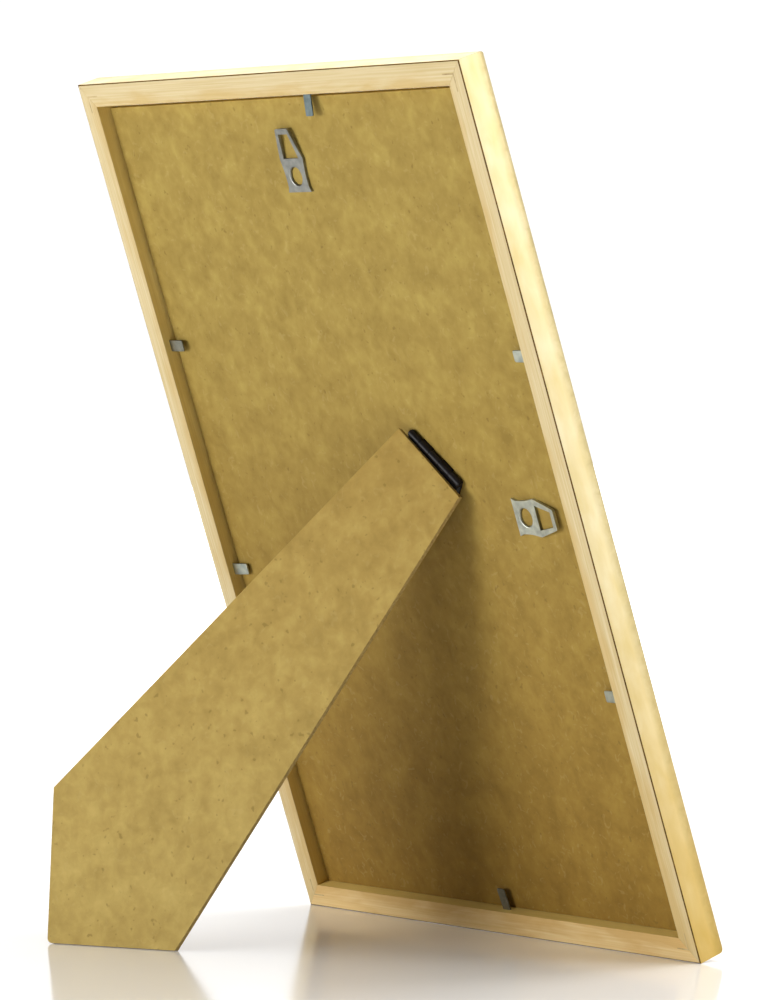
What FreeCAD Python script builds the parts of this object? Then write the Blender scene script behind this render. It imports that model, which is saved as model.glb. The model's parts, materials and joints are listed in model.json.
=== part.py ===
import FreeCAD, Part
import math
import os
import Sketcher

from FreeCAD import Placement, Rotation, Vector

# A standing photo frame for one upright A4 sheet, seen from its back.
# Frame directions: x to the left seen from behind, y out of the back face, z up along the frame.
# The zero point of these directions is the middle of the edge that the frame stands on.

# Driving sizes in millimetres and degrees: name, value, what it is
size_table = [
    ("insert_width", 210.0, "width of the sheet, the glass and the back board"),
    ("insert_height", 297.0, "height of the sheet, the glass and the back board"),
    ("insert_gap", 1.0, "room in the rebate on each side of the insert"),
    ("seat_gap", 0.1, "play under the insert, where it rests in the rebate"),
    ("glass_thickness", 2.0, "glass"),
    ("sheet_thickness", 0.3, "paper sheet behind the glass"),
    ("board_thickness", 2.5, "hardboard back"),
    ("rail_width", 8.5, "bare wood beside the rebate, at the back"),
    ("rail_depth", 12.0, "rail from its back face to its crest"),
    ("rebate_depth", 9.5, "from the back face to the lip that holds the glass"),
    ("lip_width", 4.0, "lip over the edge of the glass"),
    ("crest_drop", 1.2, "fall of the crowned face from its crest to the sight edge"),
    ("shoulder_radius", 3.0, "rounding between the side and the crowned face"),
    ("sight_radius", 0.5, "rounding of the sight edge"),
    ("nail_inset", 4.6, "apex of a corner nail from both sides of the frame"),
    ("nail_leg", 6.0, "leg of a corner nail"),
    ("nail_thickness", 0.5, "steel of a corner nail"),
    ("nail_height", 7.0, "corner nail, down into the wood"),
    ("tab_width", 4.2, "steel tab that holds the back board"),
    ("tab_length", 8.0, "tab that shows"),
    ("tab_thickness", 0.5, "steel of a tab"),
    ("tab_lift", 1.7, "underside of a tab above the board, where it leaves the wood"),
    ("tab_tip_gap", 0.1, "play between the board and the tip of a tab that is pressed down"),
    ("tab_bend_gap", 0.12, "play of a tab at the wood, so that it can be bent"),
    ("tab_corner", 0.6, "cut corners of a tab"),
    ("tab_root", 5.5, "root of a tab in the wood"),
    ("tab_point", 1.6, "pointed end of the root"),
    ("tab_top_angle", 9.0, "angle by which the top tab stands off the board"),
    ("tab_bottom_angle", 4.0, "angle by which the bottom tab stands off the board"),
    ("tab_left_lower_angle", -5.0, "angle of the lower left tab, towards the board"),
    ("tab_top_across", 135.8, "top tab, from the left edge seen from behind"),
    ("tab_bottom_across", 121.3, "bottom tab, from the left edge"),
    ("tab_left_upper_down", 99.0, "upper left tab, from the top edge"),
    ("tab_left_lower_down", 184.5, "lower left tab, from the top edge"),
    ("tab_right_upper_down", 102.0, "upper right tab, from the top edge"),
    ("tab_right_lower_down", 222.0, "lower right tab, from the top edge"),
    ("hanger_thickness", 1.0, "stamped steel of a hanger"),
    ("hanger_length", 22.9, "hanger from its base end to the end of its loop"),
    ("hanger_base", 13.5, "width at the pointed corners of the base"),
    ("hanger_waist", 12.0, "width of the base behind its pointed corners"),
    ("hanger_corner", 1.8, "length of the pointed corners"),
    ("waist_radius", 34.0, "hollow side of the base between corners and shoulders"),
    ("hanger_shoulder", 13.6, "width at the shoulders"),
    ("hanger_shoulder_at", 11.8, "base end to the shoulders"),
    ("hanger_tip", 7.2, "width at the end of the loop"),
    ("hanger_tip_radius", 0.9, "rounded corners at the end of the loop"),
    ("hanger_lift", 1.1, "end of the loop above the board, so that a nail goes under"),
    ("hanger_hole", 6.4, "diameter of the hole in the base"),
    ("hanger_hole_at", 5.6, "base end to the middle of the hole"),
    ("burr_width", 0.5, "burr round the hole, where it leaves the sheet"),
    ("burr_depth", 1.4, "burr round the hole, down into the board"),
    ("window_start", 12.0, "base end to the window in the loop"),
    ("window_end", 20.9, "base end to the far side of the window"),
    ("window_wide", 8.8, "window beside the base"),
    ("window_narrow", 5.4, "window beside the end of the loop"),
    ("prong_length", 2.2, "prong of a hanger along the edge of its base"),
    ("prong_depth", 2.0, "prong of a hanger, down into the board"),
    ("hanger_top_down", 43.6, "base end of the upper hanger, from the top edge"),
    ("hanger_side_across", 187.7, "base end of the side hanger, from the left edge"),
    ("hanger_side_down", 159.5, "middle line of the side hanger, from the top edge"),
    ("lean", 17.0, "the frame leans back from upright by this angle"),
    ("hinge_across", 151.5, "middle of the strut hinge, from the left edge"),
    ("hinge_down", 139.1, "middle of the strut hinge, from the top edge"),
    ("hinge_angle", 42.0, "slope of the hinge line, falling to the right"),
    ("opening", 33.3, "angle of the opened strut from the board"),
    ("strut_thickness", 2.0, "hardboard strut"),
    ("strut_head", 34.3, "width of the strut at the hinge line"),
    ("strut_flare", 6.6, "angle of each long side from the middle line"),
    ("strut_start_left", 1.5, "hinge line to the upper left corner of the strut"),
    ("strut_start_right", 2.7, "hinge line to the upper right corner of the strut"),
    ("tip_aside", 2.4, "point between the two feet, to the left of the middle line"),
    ("strut_tip_radius", 1.8, "rounded point between the two feet"),
    ("hinge_length", 27.4, "length of the hinge"),
    ("leaf_reach", 13.0, "leaf from the hinge line to its far edge"),
    ("leaf_thickness", 0.6, "sheet steel of the leaves"),
    ("leaf_corner", 1.2, "cut corners of the leaves"),
    ("pin_radius", 0.7, "hinge pin"),
    ("pin_gap", 0.05, "running play between pin and knuckles"),
    ("pin_head", 1.1, "radius of the riveted ends of the pin"),
    ("pin_head_height", 0.4, "height of the riveted ends of the pin"),
    ("turn_gap", 0.05, "play between turning knuckles and what lies beside them"),
    ("knuckle_gap", 0.16, "gap between two knuckles"),
    ("heel_reach", 1.3, "heel that meets the board and stops the strut"),
    ("tooth_length", 2.4, "tooth of a leaf, along the leaf"),
    ("tooth_height", 1.3, "tooth of a leaf, into the hardboard"),
    ("tooth_near", 4.2, "hinge line to the first tooth"),
    ("tooth_far", 9.2, "hinge line to the second tooth"),
    ("overrun", 5.0, "how far cutting outlines run past the wood or steel"),
]
knuckle_count = 5

doc = FreeCAD.newDocument("easel_back_frame")
sheet = doc.addObject("Spreadsheet::Sheet", "Sizes")
for row, (alias, value, note) in enumerate(size_table, start=1):
    sheet.set("A%d" % row, note)
    sheet.set("B%d" % row, "%g" % value)
    sheet.setAlias("B%d" % row, alias)
doc.recompute()

# Sizes that follow from the driving ones, as formulas
half = "0.5 * "
frame_width = "(Sizes.insert_width + 2 * Sizes.insert_gap + 2 * Sizes.rail_width)"
frame_height = "(Sizes.insert_height + 2 * Sizes.insert_gap + 2 * Sizes.rail_width)"
rail_reach = "(Sizes.rail_width + Sizes.lip_width)"
crown_run = "(Sizes.rail_width + Sizes.lip_width - Sizes.shoulder_radius)"
crown_radius = "((%s ^ 2 + Sizes.crest_drop ^ 2) / (2 * Sizes.crest_drop))" % crown_run
board_front = "(Sizes.rebate_depth - Sizes.glass_thickness - Sizes.sheet_thickness)"
recess = "(%s - Sizes.board_thickness)" % board_front
barrel_radius = "(Sizes.pin_radius + Sizes.pin_gap + Sizes.leaf_thickness)"
bore_radius = "(Sizes.pin_radius + Sizes.pin_gap)"
axis_height = "(%s + Sizes.turn_gap)" % barrel_radius
knuckle = "(Sizes.hinge_length / %d)" % knuckle_count

# The strut's inner face holds the hinge line. Its right foot lies on the floor when the frame
# stands upright, and its left foot when the frame stands on its left side.
axis_out = "(%s - %s)" % (axis_height, recess)
axis_up = "(%s - Sizes.hinge_down)" % frame_height
foot_divisor = ("(cos(Sizes.lean) * cos(Sizes.opening) * cos(Sizes.hinge_angle)"
                " + sin(Sizes.lean) * sin(Sizes.opening))")
floor_reach = "((cos(Sizes.lean) * %s - sin(Sizes.lean) * %s) / %s)" % (axis_up, axis_out, foot_divisor)
upright_slope = "(cos(Sizes.lean) * sin(Sizes.hinge_angle) / %s)" % foot_divisor
tip_reach = "(%s + %s * Sizes.tip_aside)" % (floor_reach, upright_slope)
side_lean = ("((Sizes.hinge_across - Sizes.tip_aside * cos(Sizes.hinge_angle)"
             " - %s * cos(Sizes.opening) * sin(Sizes.hinge_angle)) / (%s + %s * sin(Sizes.opening)))"
             % (tip_reach, axis_out, tip_reach))
sideways_slope = ("(cos(Sizes.hinge_angle) / (cos(Sizes.opening) * sin(Sizes.hinge_angle)"
                  " + %s * sin(Sizes.opening)))" % side_lean)


along_x = Vector(1, 0, 0)
along_z = Vector(0, 0, 1)


def number(formula):
    """Value of a formula of named sizes."""
    return float(sheet.evalExpression(formula))


def origin_plane(body, role):
    for feature in body.Origin.OriginFeatures:
        if feature.Role == role:
            return feature


def new_body(name):
    return doc.addObject("PartDesign::Body", name)


def new_sketch(body, name, role, offset=None, turn=None):
    """Sketch on an origin plane, moved along the plane's normal or turned in it."""
    sketch = body.newObject("Sketcher::SketchObject", name)
    sketch.AttachmentSupport = (origin_plane(body, role), [""])
    sketch.MapMode = "FlatFace"
    if offset:
        sketch.setExpression("AttachmentOffset.Base.z", offset)
    if turn:
        sketch.AttachmentOffset = Placement(Vector(), Rotation(along_z, 1))
        sketch.setExpression("AttachmentOffset.Rotation.Angle", turn)
    return sketch


def arc_centre(start, end, radius, side):
    chord = end - start
    across = Vector(-chord.y, chord.x, 0).normalize() * side
    return (start + end) * 0.5 + across * math.sqrt(radius ** 2 - (chord.Length / 2) ** 2)


def add_outline(sketch, corners):
    """Closed outline. A corner is (x, y), or (x, y, radius, side) where an arc leads to the next
    corner, with its centre to the left (side 1) or right (side -1) of the way there."""
    places = [Vector(number(corner[0]), number(corner[1]), 0) for corner in corners]
    links = []
    for index, corner in enumerate(corners):
        start = places[index]
        end = places[(index + 1) % len(places)]
        if len(corner) == 2:
            edge = sketch.addGeometry(Part.LineSegment(start, end))
            links.append((edge, 1, 2))
            continue
        radius, side = corner[2], corner[3]
        centre = arc_centre(start, end, number(radius), side)
        circle = Part.Circle(centre, along_z, number(radius))
        first, last = (start, end) if side > 0 else (end, start)
        edge = sketch.addGeometry(Part.ArcOfCircle(circle, circle.parameter(first), circle.parameter(last)))
        links.append((edge, 1, 2) if side > 0 else (edge, 2, 1))
        rule = sketch.addConstraint(Sketcher.Constraint("Radius", edge, number(radius)))
        sketch.setExpression("Constraints[%d]" % rule, radius)
    for index, (edge, begin, end) in enumerate(links):
        following, following_begin, unused = links[(index + 1) % len(links)]
        sketch.addConstraint(Sketcher.Constraint("Coincident", edge, end, following, following_begin))
        for kind, place, formula in zip(("DistanceX", "DistanceY"), places[index], corners[index]):
            rule = sketch.addConstraint(Sketcher.Constraint(kind, -1, 1, edge, begin, place))
            sketch.setExpression("Constraints[%d]" % rule, formula)


def add_circle(sketch, x, y, radius):
    centre = Vector(number(x), number(y), 0)
    edge = sketch.addGeometry(Part.Circle(centre, along_z, number(radius)))
    rule = sketch.addConstraint(Sketcher.Constraint("Radius", edge, number(radius)))
    sketch.setExpression("Constraints[%d]" % rule, radius)
    for kind, place, formula in zip(("DistanceX", "DistanceY"), centre, (x, y)):
        rule = sketch.addConstraint(Sketcher.Constraint(kind, -1, 1, edge, 3, place))
        sketch.setExpression("Constraints[%d]" % rule, formula)


def box_outline(low_x, high_x, low_y, high_y):
    return [(low_x, low_y), (high_x, low_y), (high_x, high_y), (low_x, high_y)]


def pad(body, name, sketch, length, symmetric=False, backward=False):
    feature = body.newObject("PartDesign::Pad", name)
    feature.Profile = sketch
    feature.setExpression("Length", length)
    feature.SideType = "Symmetric" if symmetric else "One side"
    feature.Reversed = backward
    body.Tip = feature
    return feature


def cut_through(body, name, sketch):
    feature = body.newObject("PartDesign::Pocket", name)
    feature.Profile = sketch
    feature.Type = "ThroughAll"
    feature.SideType = "Symmetric"
    body.Tip = feature
    return feature


def revolve(body, name, sketch, axis):
    feature = body.newObject("PartDesign::Revolution", name)
    feature.Profile = sketch
    feature.ReferenceAxis = (sketch, [axis])
    feature.Angle = 360
    body.Tip = feature
    return feature


def mirror(body, name, features, role):
    feature = body.newObject("PartDesign::Mirrored", name)
    feature.Originals = features
    feature.MirrorPlane = (origin_plane(body, role), [""])
    body.Tip = feature
    return feature


def straight_edges(shape, way, places):
    """Names of the edges that run in the given way through the given places."""
    tolerance = shape.BoundBox.DiagonalLength / 10000
    names = []
    for index, edge in enumerate(shape.Edges, start=1):
        first = edge.firstVertex().Point
        last = edge.lastVertex().Point
        if (last - first).cross(way).Length > tolerance:
            continue
        if any((first - place).cross(way).Length < tolerance for place in places):
            names.append("Edge%d" % index)
    return names


def round_edges(body, name, base, edges, radius):
    feature = body.newObject("PartDesign::Fillet", name)
    feature.Base = (base, edges)
    feature.setExpression("Radius", radius)
    body.Tip = feature
    return feature


# The four rails: one moulding, cut at 45 degrees. Here x runs along the rail, y out of its back
# face and z outwards from the picture, with zero at the middle of the outer back edge.
def make_rail(name, length):
    body = new_body(name)
    section = new_sketch(body, name + "_section", "YZ_Plane")
    crest_z = "-Sizes.shoulder_radius"
    sight_y = "-(Sizes.rail_depth - Sizes.crest_drop)"
    add_outline(section, [
        ("0", "0"),
        ("0", "-Sizes.rail_width"),
        ("-Sizes.rebate_depth", "-Sizes.rail_width"),
        ("-Sizes.rebate_depth", "-" + rail_reach),
        (sight_y, "-" + rail_reach, crown_radius, 1),
        ("-Sizes.rail_depth", crest_z, "Sizes.shoulder_radius", 1),
        ("-(Sizes.rail_depth - Sizes.shoulder_radius)", "0"),
    ])
    moulding = pad(body, name + "_moulding", section, length, symmetric=True)
    doc.recompute()
    sight_edge = Vector(0, number(sight_y), -number(rail_reach))
    round_edges(body, name + "_sight_edge", moulding,
                straight_edges(moulding.Shape, along_x, [sight_edge]), "Sizes.sight_radius")
    mitres = new_sketch(body, name + "_mitres", "XZ_Plane")
    past = "Sizes.overrun"
    for side in ("", "-"):
        end = half + length
        outer = (side + "(%s + %s)" % (end, past), past)
        inner = (side + "(%s - %s - %s)" % (end, rail_reach, past), "-(%s + %s)" % (rail_reach, past))
        corner = (outer[0], inner[1])
        add_outline(mitres, [outer, inner, corner])
    cut_through(body, name + "_mitre_cuts", mitres)
    return body


# A chevron nail across each mitre. Here x and y run inwards along the two rails from the
# corner of the frame, and z out of the back face.
def make_nail(name):
    body = new_body(name)
    plan = new_sketch(body, name + "_plan", "XY_Plane")
    low = "(Sizes.nail_inset - Sizes.nail_thickness / 2)"
    high = "(Sizes.nail_inset + Sizes.nail_thickness / 2)"
    end = "(Sizes.nail_inset + Sizes.nail_leg)"
    add_outline(plan, [(low, low), (end, low), (end, high), (high, high), (high, end), (low, end)])
    pad(body, name + "_steel", plan, "Sizes.nail_height", backward=True)
    return body


# Glass, paper sheet and board share one outline. Here x runs across, y out of the back, z up,
# with zero at the middle of the lower edge of the rear face.
def make_panel(name, thickness):
    body = new_body(name)
    plan = new_sketch(body, name + "_plan", "XZ_Plane")
    wide = half + "Sizes.insert_width"
    add_outline(plan, box_outline("-(%s)" % wide, wide, "0", "Sizes.insert_height"))
    pad(body, name + "_sheet", plan, thickness)
    return body


# A soft steel tab. Here x runs along the rail, y out of the back and z into the wood, with zero
# at the line in the wood's face about which the tab is bent.
def make_tab_root(name):
    body = new_body(name)
    plan = new_sketch(body, name + "_plan", "XZ_Plane")
    wide = half + "Sizes.tab_width"
    neck = "(Sizes.tab_root - Sizes.tab_point)"
    point = ("0", "Sizes.tab_root")
    add_outline(plan, [("-" + wide, "0"), (wide, "0"), (wide, neck), point, ("-" + wide, neck)])
    pad(body, name + "_steel", plan, "Sizes.tab_thickness")
    return body


def make_tab(name):
    body = new_body(name)
    plan = new_sketch(body, name + "_plan", "XZ_Plane")
    wide = half + "Sizes.tab_width"
    narrow = "(%s - Sizes.tab_corner)" % wide
    near = "-Sizes.tab_bend_gap"
    far = "-Sizes.tab_length"
    shoulder = "-(Sizes.tab_length - Sizes.tab_corner)"
    add_outline(plan, [
        ("-" + narrow, far),
        (narrow, far),
        (wide, shoulder),
        (wide, near),
        ("-" + wide, near),
        ("-" + wide, shoulder),
    ])
    pad(body, name + "_steel", plan, "Sizes.tab_thickness")
    return body


# A stamped hanger. Here x runs across it, y from its base end to its loop and z out of the
# board, with zero on the board at the middle of the base end.
def make_hanger(name):
    body = new_body(name)
    bent = new_sketch(body, name + "_side", "YZ_Plane")
    rise = "(Sizes.hanger_lift + Sizes.hanger_thickness)"
    add_outline(bent, [
        ("0", "0"),
        ("Sizes.hanger_shoulder_at", "0"),
        ("Sizes.hanger_length", "Sizes.hanger_lift"),
        ("Sizes.hanger_length", rise),
        ("Sizes.hanger_shoulder_at", "Sizes.hanger_thickness"),
        ("0", "Sizes.hanger_thickness"),
    ])
    pad(body, name + "_strip", bent, "Sizes.hanger_shoulder", symmetric=True)
    waste = new_sketch(body, name + "_waste", "XY_Plane")
    beyond = "(%sSizes.hanger_shoulder + Sizes.overrun)" % half
    past_end = "(Sizes.hanger_length + Sizes.overrun)"
    for side, hollow in (("", -1), ("-", 1)):
        edge = [
            ("Sizes.hanger_base", "-Sizes.overrun"),
            ("Sizes.hanger_base", "0"),
            ("Sizes.hanger_waist", "Sizes.hanger_corner", "Sizes.waist_radius", hollow),
            ("Sizes.hanger_shoulder", "Sizes.hanger_shoulder_at"),
            ("Sizes.hanger_tip", "Sizes.hanger_length"),
            ("Sizes.hanger_tip", past_end),
        ]
        corners = [("%s(%s%s)" % (side, half, spot[0]),) + spot[1:] for spot in edge]
        corners += [(side + beyond, past_end), (side + beyond, "-Sizes.overrun")]
        add_outline(waste, corners)
    cut_through(body, name + "_outline", waste)
    openings = new_sketch(body, name + "_openings", "XY_Plane")
    wide = half + "Sizes.window_wide"
    narrow = half + "Sizes.window_narrow"
    add_outline(openings, [
        ("-" + wide, "Sizes.window_start"),
        (wide, "Sizes.window_start"),
        (narrow, "Sizes.window_end"),
        ("-" + narrow, "Sizes.window_end"),
    ])
    add_circle(openings, "0", "Sizes.hanger_hole_at", half + "Sizes.hanger_hole")
    pierced = cut_through(body, name + "_window_and_hole", openings)
    doc.recompute()
    tip_x = number(half + "Sizes.hanger_tip")
    tip_y = number("Sizes.hanger_length")
    tips = [Vector(tip_x, tip_y, 0), Vector(-tip_x, tip_y, 0)]
    corners = straight_edges(pierced.Shape, along_z, tips)
    round_edges(body, name + "_end_corners", pierced, corners, "Sizes.hanger_tip_radius")
    burr = new_sketch(body, name + "_burr_section", "XZ_Plane", offset="-Sizes.hanger_hole_at")
    wall = half + "Sizes.hanger_hole"
    outside = "(%s + Sizes.burr_width)" % wall
    add_outline(burr, [
        (wall, "-Sizes.burr_depth"),
        (outside, "0"),
        (outside, half + "Sizes.hanger_thickness"),
        (wall, half + "Sizes.hanger_thickness"),
    ])
    revolve(body, name + "_burr", burr, "V_Axis")
    prong = new_sketch(body, name + "_prong", "YZ_Plane",
                       offset="%sSizes.hanger_waist - Sizes.hanger_thickness" % half)
    add_outline(prong, [
        ("0", "0"),
        (half + "Sizes.prong_length", "-Sizes.prong_depth"),
        ("Sizes.prong_length", "0"),
        ("Sizes.prong_length", half + "Sizes.hanger_thickness"),
        ("0", half + "Sizes.hanger_thickness"),
    ])
    right = pad(body, name + "_right_prong", prong, "Sizes.hanger_thickness")
    mirror(body, name + "_prongs", [right], "YZ_Plane")
    return body


# The hinge and the strut. Here x runs along the hinge line to the upper left, y towards the
# foot of the strut and z out of the board, with zero on the hinge line.
def add_barrel(body, name):
    disc = new_sketch(body, name + "_barrel_section", "YZ_Plane")
    add_circle(disc, "0", "0", barrel_radius)
    pad(body, name + "_barrel", disc, "Sizes.hinge_length", symmetric=True)


def cut_knuckles_and_bore(body, name, first):
    """Clear every second knuckle, from the first one given, for the other leaf, and bore the rest."""
    gaps = new_sketch(body, name + "_gaps", "XY_Plane")
    clear = "(%s + Sizes.turn_gap)" % barrel_radius
    for index in range(first, knuckle_count, 2):
        low = "(%d * %s - (Sizes.hinge_length + Sizes.knuckle_gap) / 2)" % (index, knuckle)
        high = "(%d * %s - (Sizes.hinge_length - Sizes.knuckle_gap) / 2)" % (index + 1, knuckle)
        add_outline(gaps, box_outline(low, high, "-Sizes.overrun", clear))
    cut_through(body, name + "_knuckle_gaps", gaps)
    bore = new_sketch(body, name + "_bore_section", "YZ_Plane")
    add_circle(bore, "0", "0", bore_radius)
    cut_through(body, name + "_bore", bore)


def add_leaf(body, name, under, over):
    """Plate of a leaf between two heights, with cut far corners."""
    plate = new_sketch(body, name + "_plate_plan", "XY_Plane", offset=under)
    wide = half + "Sizes.hinge_length"
    inner = "(%s - Sizes.leaf_corner)" % wide
    shoulder = "(Sizes.leaf_reach - Sizes.leaf_corner)"
    add_outline(plate, [
        ("-" + wide, bore_radius),
        (wide, bore_radius),
        (wide, shoulder),
        (inner, "Sizes.leaf_reach"),
        ("-" + inner, "Sizes.leaf_reach"),
        ("-" + wide, shoulder),
    ])
    pad(body, name + "_plate", plate, "(%s) - (%s)" % (over, under))


def add_teeth(body, name, root, tip):
    """Two teeth on each side edge of a leaf, from the plate's face at root to their points."""
    teeth = new_sketch(body, name + "_tooth_plan", "YZ_Plane",
                       offset="%sSizes.hinge_length - Sizes.leaf_thickness" % half)
    for place in ("Sizes.tooth_near", "Sizes.tooth_far"):
        add_outline(teeth, [
            (place, root),
            ("(%s + Sizes.tooth_length)" % place, root),
            ("(%s + %sSizes.tooth_length)" % (place, half), tip),
        ])
    side = pad(body, name + "_side_teeth", teeth, "Sizes.leaf_thickness")
    mirror(body, name + "_teeth", [side], "YZ_Plane")


def make_board_leaf(name):
    body = new_body(name)
    under = "-" + axis_height
    over = "(Sizes.leaf_thickness - %s)" % axis_height
    add_leaf(body, name, under, over)
    add_barrel(body, name)
    cut_knuckles_and_bore(body, name, 1)
    add_teeth(body, name, under, "-(%s + Sizes.tooth_height)" % axis_height)
    return body


def make_strut_leaf(name):
    body = new_body(name)
    add_leaf(body, name, "-Sizes.leaf_thickness", "0")
    add_barrel(body, name)
    heel = new_sketch(body, name + "_heel_section", "YZ_Plane", turn="-Sizes.opening")
    add_outline(heel, box_outline("-Sizes.heel_reach", "0", "-" + barrel_radius, "-" + bore_radius))
    pad(body, name + "_heel", heel, "Sizes.hinge_length", symmetric=True)
    cut_knuckles_and_bore(body, name, 0)
    add_teeth(body, name, "0", "Sizes.tooth_height")
    return body


def make_pin(name):
    body = new_body(name)
    profile = new_sketch(body, name + "_profile", "XY_Plane")
    end = half + "Sizes.hinge_length"
    top = "(%s + Sizes.pin_head_height)" % end
    flat = "(Sizes.pin_head - Sizes.pin_head_height)"
    add_outline(profile, [
        ("-" + top, "0"),
        (top, "0"),
        (top, flat, "Sizes.pin_head_height", 1),
        (end, "Sizes.pin_head"),
        (end, "Sizes.pin_radius"),
        ("-" + end, "Sizes.pin_radius"),
        ("-" + end, "Sizes.pin_head", "Sizes.pin_head_height", 1),
        ("-" + top, flat),
    ])
    revolve(body, name + "_turned", profile, "H_Axis")
    return body


def strut_side(reach):
    """Middle line to a long side of the strut, this far from the hinge line."""
    return "(%sSizes.strut_head + %s * tan(Sizes.strut_flare))" % (half, reach)


def make_strut(name):
    body = new_body(name)
    plan = new_sketch(body, name + "_plan", "XY_Plane")
    left_reach = "(%s + %s * Sizes.tip_aside)" % (tip_reach, sideways_slope)
    left_foot = "(%s / (1 + %s * tan(Sizes.strut_flare)))" % (strut_side(left_reach), sideways_slope)
    right_foot = "(%s / (1 + %s * tan(Sizes.strut_flare)))" % (strut_side(floor_reach), upright_slope)
    add_outline(plan, [
        ("-" + strut_side("Sizes.strut_start_right"), "Sizes.strut_start_right"),
        (strut_side("Sizes.strut_start_left"), "Sizes.strut_start_left"),
        (left_foot, "(%s - %s * %s)" % (left_reach, sideways_slope, left_foot)),
        ("Sizes.tip_aside", tip_reach),
        ("-" + right_foot, "(%s - %s * %s)" % (floor_reach, upright_slope, right_foot)),
    ])
    blade = pad(body, name + "_blade", plan, "Sizes.strut_thickness")
    doc.recompute()
    point_place = Vector(number("Sizes.tip_aside"), number(tip_reach), 0)
    point = straight_edges(blade.Shape, along_z, [point_place])
    round_edges(body, name + "_point", blade, point, "Sizes.strut_tip_radius")
    return body


# Places in the frame's directions
def across(formula):
    """Place on x of a distance from the left edge, seen from behind."""
    return number("%s%s - %s" % (half, frame_width, formula))


def down(formula):
    """Place on z of a distance from the top edge."""
    return number("%s - %s" % (frame_height, formula))


board_face = -number(recess)
rail_side = number("Sizes.rail_width")
half_width = number(half + frame_width)
full_height = number(frame_height)
about_y = Vector(0, 1, 0)
placed = []


def place(body, place_in_frame):
    placed.append((body, place_in_frame))
    return body


def seat(name, blank, tools):
    """The finished piece: its blank, less the steel that is driven or pressed into it."""
    tool = tools[0]
    if len(tools) > 1:
        tool = doc.addObject("Part::MultiFuse", name + "_steel")
        tool.Shapes = tools
    piece = doc.addObject("Part::Cut", name + "_seated")
    piece.Base = blank
    piece.Tool = tool
    piece.Label = name
    return piece


# Corner nails, one for each corner of the frame
nail_corners = [
    ("corner_nail_lower_left", Vector(half_width, 0, 0), 0),
    ("corner_nail_upper_left", Vector(half_width, 0, full_height), -90),
    ("corner_nail_upper_right", Vector(-half_width, 0, full_height), 180),
    ("corner_nail_lower_right", Vector(-half_width, 0, 0), 90),
]
corner_turn = Rotation(Vector(-1, 0, 0), Vector(0, 0, 1), Vector(0, 1, 0), "ZXY")
nails = {}
for nail_name, corner, turn in nail_corners:
    turned_corner = Rotation(about_y, turn).multiply(corner_turn)
    nails[nail_name] = place(make_nail(nail_name), Placement(corner, turned_corner))

# Steel tabs: the line about which each is bent, the turn that points its root outwards, and the
# angle at which it stands off the board
tab_level = board_face + number("Sizes.tab_lift + Sizes.tab_thickness")
wall_left = half_width - rail_side
wall_top = full_height - rail_side
level = 0
tab_places = [
    ("tab_top", Vector(across("Sizes.tab_top_across"), tab_level, wall_top), 0,
     number("Sizes.tab_top_angle")),
    ("tab_bottom", Vector(across("Sizes.tab_bottom_across"), tab_level, rail_side), 180,
     number("Sizes.tab_bottom_angle")),
    ("tab_left_upper", Vector(wall_left, tab_level, down("Sizes.tab_left_upper_down")), 90, level),
    ("tab_left_lower", Vector(wall_left, tab_level, down("Sizes.tab_left_lower_down")), 90,
     number("Sizes.tab_left_lower_angle")),
    ("tab_right_upper", Vector(-wall_left, tab_level, down("Sizes.tab_right_upper_down")), -90, level),
    ("tab_right_lower", Vector(-wall_left, tab_level, down("Sizes.tab_right_lower_down")), -90, level),
]
tab_roots = {}
tab_frames = {}
for tab_name, spot, turn, angle in tab_places:
    tab_frames[tab_name] = Placement(spot, Rotation(about_y, turn))
    root_name = tab_name + "_root"
    tab_roots[tab_name] = place(make_tab_root(root_name), tab_frames[tab_name])
    tab_bend = Placement(Vector(), Rotation(along_x, angle))
    place(make_tab(tab_name), tab_frames[tab_name].multiply(tab_bend))

# Rails, with the nails and tab roots that are driven into each
rail_places = [
    ("rail_top", frame_width, Vector(0, 0, full_height), 0,
     ["corner_nail_upper_left", "corner_nail_upper_right"], ["tab_top"]),
    ("rail_bottom", frame_width, Vector(0, 0, 0), 180,
     ["corner_nail_lower_left", "corner_nail_lower_right"], ["tab_bottom"]),
    ("rail_left", frame_height, Vector(half_width, 0, full_height / 2), 90,
     ["corner_nail_upper_left", "corner_nail_lower_left"], ["tab_left_upper", "tab_left_lower"]),
    ("rail_right", frame_height, Vector(-half_width, 0, full_height / 2), -90,
     ["corner_nail_upper_right", "corner_nail_lower_right"], ["tab_right_upper", "tab_right_lower"]),
]
rails = []
for rail_name, length, middle, turn, nail_names, tab_names in rail_places:
    blank = place(make_rail(rail_name + "_blank", length), Placement(middle, Rotation(about_y, turn)))
    driven = [nails[nail_name] for nail_name in nail_names] + [tab_roots[tab_name] for tab_name in tab_names]
    rails.append(seat(rail_name, blank, driven))

# Glass, sheet and board, resting on the lower rail's rebate
insert_foot = rail_side + number("Sizes.seat_gap")
glass_rear = -number("Sizes.rebate_depth - Sizes.glass_thickness")
place(make_panel("glass", "Sizes.glass_thickness"), Placement(Vector(0, glass_rear, insert_foot), Rotation()))
place(make_panel("photo_sheet", "Sizes.sheet_thickness"),
      Placement(Vector(0, -number(board_front), insert_foot), Rotation()))
board_blank = place(make_panel("board_blank", "Sizes.board_thickness"),
                    Placement(Vector(0, board_face, insert_foot), Rotation()))

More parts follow.
